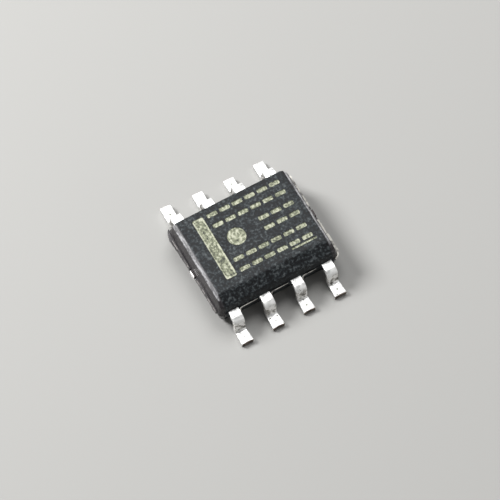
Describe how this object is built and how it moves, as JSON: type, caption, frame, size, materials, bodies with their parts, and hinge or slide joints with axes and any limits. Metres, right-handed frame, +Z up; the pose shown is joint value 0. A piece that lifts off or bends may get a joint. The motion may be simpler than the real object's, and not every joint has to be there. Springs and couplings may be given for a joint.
{
  "type": "small-outline integrated circuit",
  "caption": "Flat black resin-moulded chip with bevelled pin 1 side and two rows of gull-wing leads for surface soldering.",
  "frame": {"origin": "centre of the footprint of the leads, on the seating plane under the feet", "axes": "+Z up from the board, +X along the rows of leads away from the pin 1 end, +Y across the rows from leads 1 to 4 towards leads 5 to 8"},
  "size_m": [0.005, 0.006, 0.0015],
  "materials": {
    "resin": "matte moulded epoxy, finely speckled",
    "tinned_lead": "matte tin plating on copper alloy",
    "leadframe_copper": "bare copper alloy, bright where it is sheared",
    "die_adhesive": "cured silver-filled adhesive",
    "silicon": "polished silicon",
    "gold_wire": "bright gold"
  },
  "bodies": {
    "root": {"molded_body": "resin", "die_pad": "leadframe_copper", "die_attach": "die_adhesive", "die": "silicon", "lead_1": "tinned_lead", "bond_wire_1": "gold_wire", "lead_2": "tinned_lead", "bond_wire_2": "gold_wire", "lead_3": "tinned_lead", "bond_wire_3": "gold_wire", "lead_4": "tinned_lead", "bond_wire_4": "gold_wire", "lead_5": "tinned_lead", "bond_wire_5": "gold_wire", "lead_6": "tinned_lead", "bond_wire_6": "gold_wire", "lead_7": "tinned_lead", "bond_wire_7": "gold_wire", "lead_8": "tinned_lead", "bond_wire_8": "gold_wire"}
  },
  "joints": []
}
